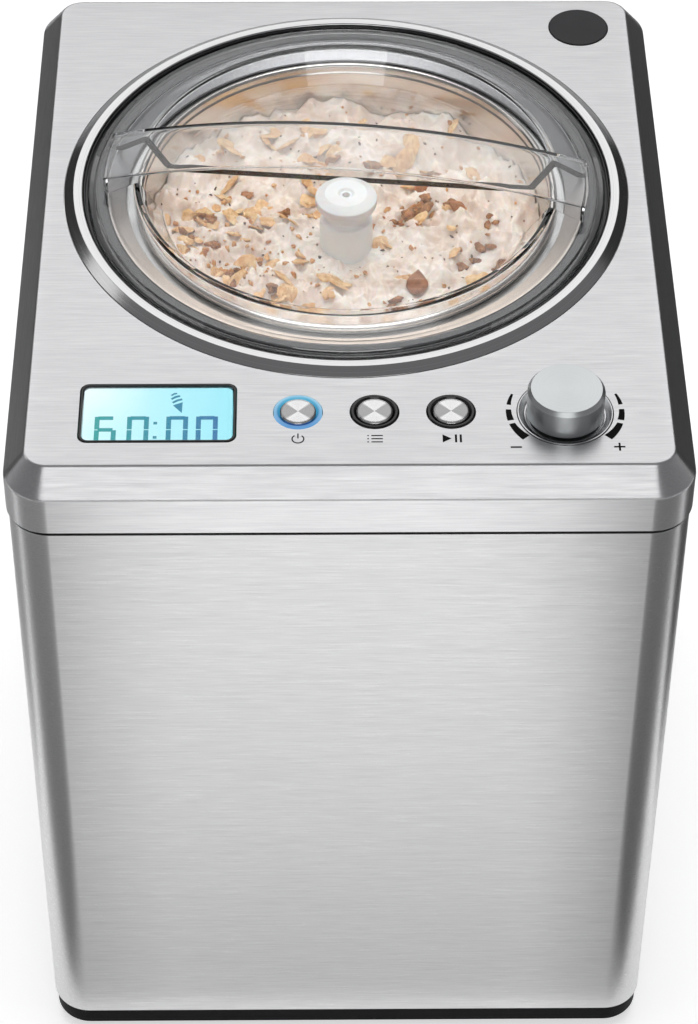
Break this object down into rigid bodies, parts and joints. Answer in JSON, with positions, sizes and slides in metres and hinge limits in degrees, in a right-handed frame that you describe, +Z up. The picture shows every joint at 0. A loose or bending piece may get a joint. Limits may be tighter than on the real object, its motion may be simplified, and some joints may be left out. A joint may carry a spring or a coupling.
{
  "type": "ice cream maker",
  "caption": "Upright compressor ice cream maker in brushed steel with a clear round lid, removable bowl, paddle, display, buttons and dial.",
  "frame": {"origin": "on the floor under the middle of the casing", "axes": "+Z up through the casing, +X to the right and +Y to the back as seen from the control side"},
  "size_m": [0.26, 0.305, 0.3625],
  "materials": {
    "steel": "fine left-to-right brush",
    "bezel": "polished spin finish",
    "zinc": "zinc plated",
    "aluminium": "satin",
    "knob": "satin turned",
    "copper": "bare copper tube",
    "black": "fine moulded texture",
    "painted": "satin black paint",
    "rubber": "matte",
    "clear": "clear",
    "silicone": "translucent silicone",
    "white": "translucent white",
    "foam": "rigid foam",
    "lcd": "backlit panel",
    "board": "circuit board",
    "blue_light": "lit ring",
    "badge": "blank"
  },
  "bodies": {
    "housing": {"base_tray": "black", "foot_front_left": "rubber", "foot_front_right": "rubber", "foot_rear_left": "rubber", "foot_rear_right": "rubber", "body_wrap": "steel", "rear_panel": "painted", "power_inlet": "black", "top_frame": "black", "top_cover": "steel", "blank_badge": "badge", "rim_bezel": "bezel", "well_trim": "black", "cooling_well": "aluminium", "shaft_seal": "rubber", "evaporator_coil": "copper", "insulation_jacket": "foam", "control_board": "board", "button_ring_power": "blue_light", "button_ring_menu": "black", "button_ring_start": "black", "switch_power": "black", "switch_menu": "black", "switch_start": "black", "display_window": "clear", "display_frame": "black", "lcd_module": "lcd", "knob_dish": "knob", "encoder": "zinc", "gearbox_housing": "zinc", "gearbox_cover": "zinc", "shaft_bush": "zinc", "drive_motor": "zinc", "drive_bracket": "zinc", "compressor": "painted", "compressor_grommet_1": "rubber", "compressor_grommet_2": "rubber", "compressor_grommet_3": "rubber", "condenser": "aluminium", "fan_frame": "black", "filter_drier": "copper", "discharge_tube": "copper", "liquid_tube": "copper", "capillary_tube": "copper", "suction_tube": "copper", "power_board": "board"},
    "power_button": {"button_power": "knob"},
    "menu_button": {"button_menu": "knob"},
    "start_button": {"button_start": "knob"},
    "knob": {"knob": "knob", "encoder_shaft": "zinc"},
    "drive_shaft": {"drive_shaft": "bezel", "output_gear": "white"},
    "idler": {"idler_gear": "white"},
    "motor_rotor": {"motor_pinion": "zinc"},
    "fan": {"fan_rotor": "black"},
    "bowl": {"bowl": "aluminium"},
    "paddle": {"paddle": "white"},
    "lid_seal": {"lid_seal": "silicone"},
    "lid": {"lid": "clear"}
  },
  "joints": [
    {"name": "power_press", "type": "slide", "parent": "housing", "child": "power_button", "axis": [0, 0, -1], "range_m": [0, 0.0012], "stiffness_N_per_m": 400, "springref_m": -0.0004},
    {"name": "menu_press", "type": "slide", "parent": "housing", "child": "menu_button", "axis": [0, 0, -1], "range_m": [0, 0.0012], "stiffness_N_per_m": 400, "springref_m": -0.0004},
    {"name": "start_press", "type": "slide", "parent": "housing", "child": "start_button", "axis": [0, 0, -1], "range_m": [0, 0.0012], "stiffness_N_per_m": 400, "springref_m": -0.0004},
    {"name": "knob_turn", "type": "hinge", "parent": "housing", "child": "knob", "pos_m": [0.08135, -0.116, 0.347], "axis": [0, 0, 1], "continuous": true},
    {"name": "drive_spin", "type": "hinge", "parent": "housing", "child": "drive_shaft", "pos_m": [0, 0.0176, 0.2], "axis": [0, 0, 1], "continuous": true},
    {"name": "idler_spin", "type": "hinge", "parent": "housing", "child": "idler", "pos_m": [-0.03064, -0.00811, 0.155], "axis": [0, 0, 1], "continuous": true},
    {"name": "motor_spin", "type": "hinge", "parent": "housing", "child": "motor_rotor", "pos_m": [-0.01064, -0.04275, 0.15], "axis": [0, 0, 1], "continuous": true},
    {"name": "fan_spin", "type": "hinge", "parent": "housing", "child": "fan", "pos_m": [0.08, 0.015, 0.095], "axis": [1, 0, 0], "continuous": true},
    {"name": "bowl_lift", "type": "slide", "parent": "housing", "child": "bowl", "axis": [0, 0, 1], "range_m": [0, 0.16]},
    {"name": "paddle_spin", "type": "hinge", "parent": "bowl", "child": "paddle", "pos_m": [0, 0.0176, 0.28], "axis": [0, 0, 1], "continuous": true},
    {"name": "lid_lift", "type": "slide", "parent": "bowl", "child": "lid_seal", "axis": [0, 0, 1], "range_m": [0, 0.12]},
    {"name": "lid_turn", "type": "hinge", "parent": "lid_seal", "child": "lid", "pos_m": [0, 0.0176, 0.341], "axis": [0, 0, 1], "range_deg": [0, 30]}
  ],
  "couplings": [
    {"joint": "idler_spin", "follows": "drive_spin", "ratio": -3},
    {"joint": "motor_spin", "follows": "drive_spin", "ratio": 9},
    {"joint": "paddle_spin", "follows": "drive_spin", "ratio": 1}
  ]
}
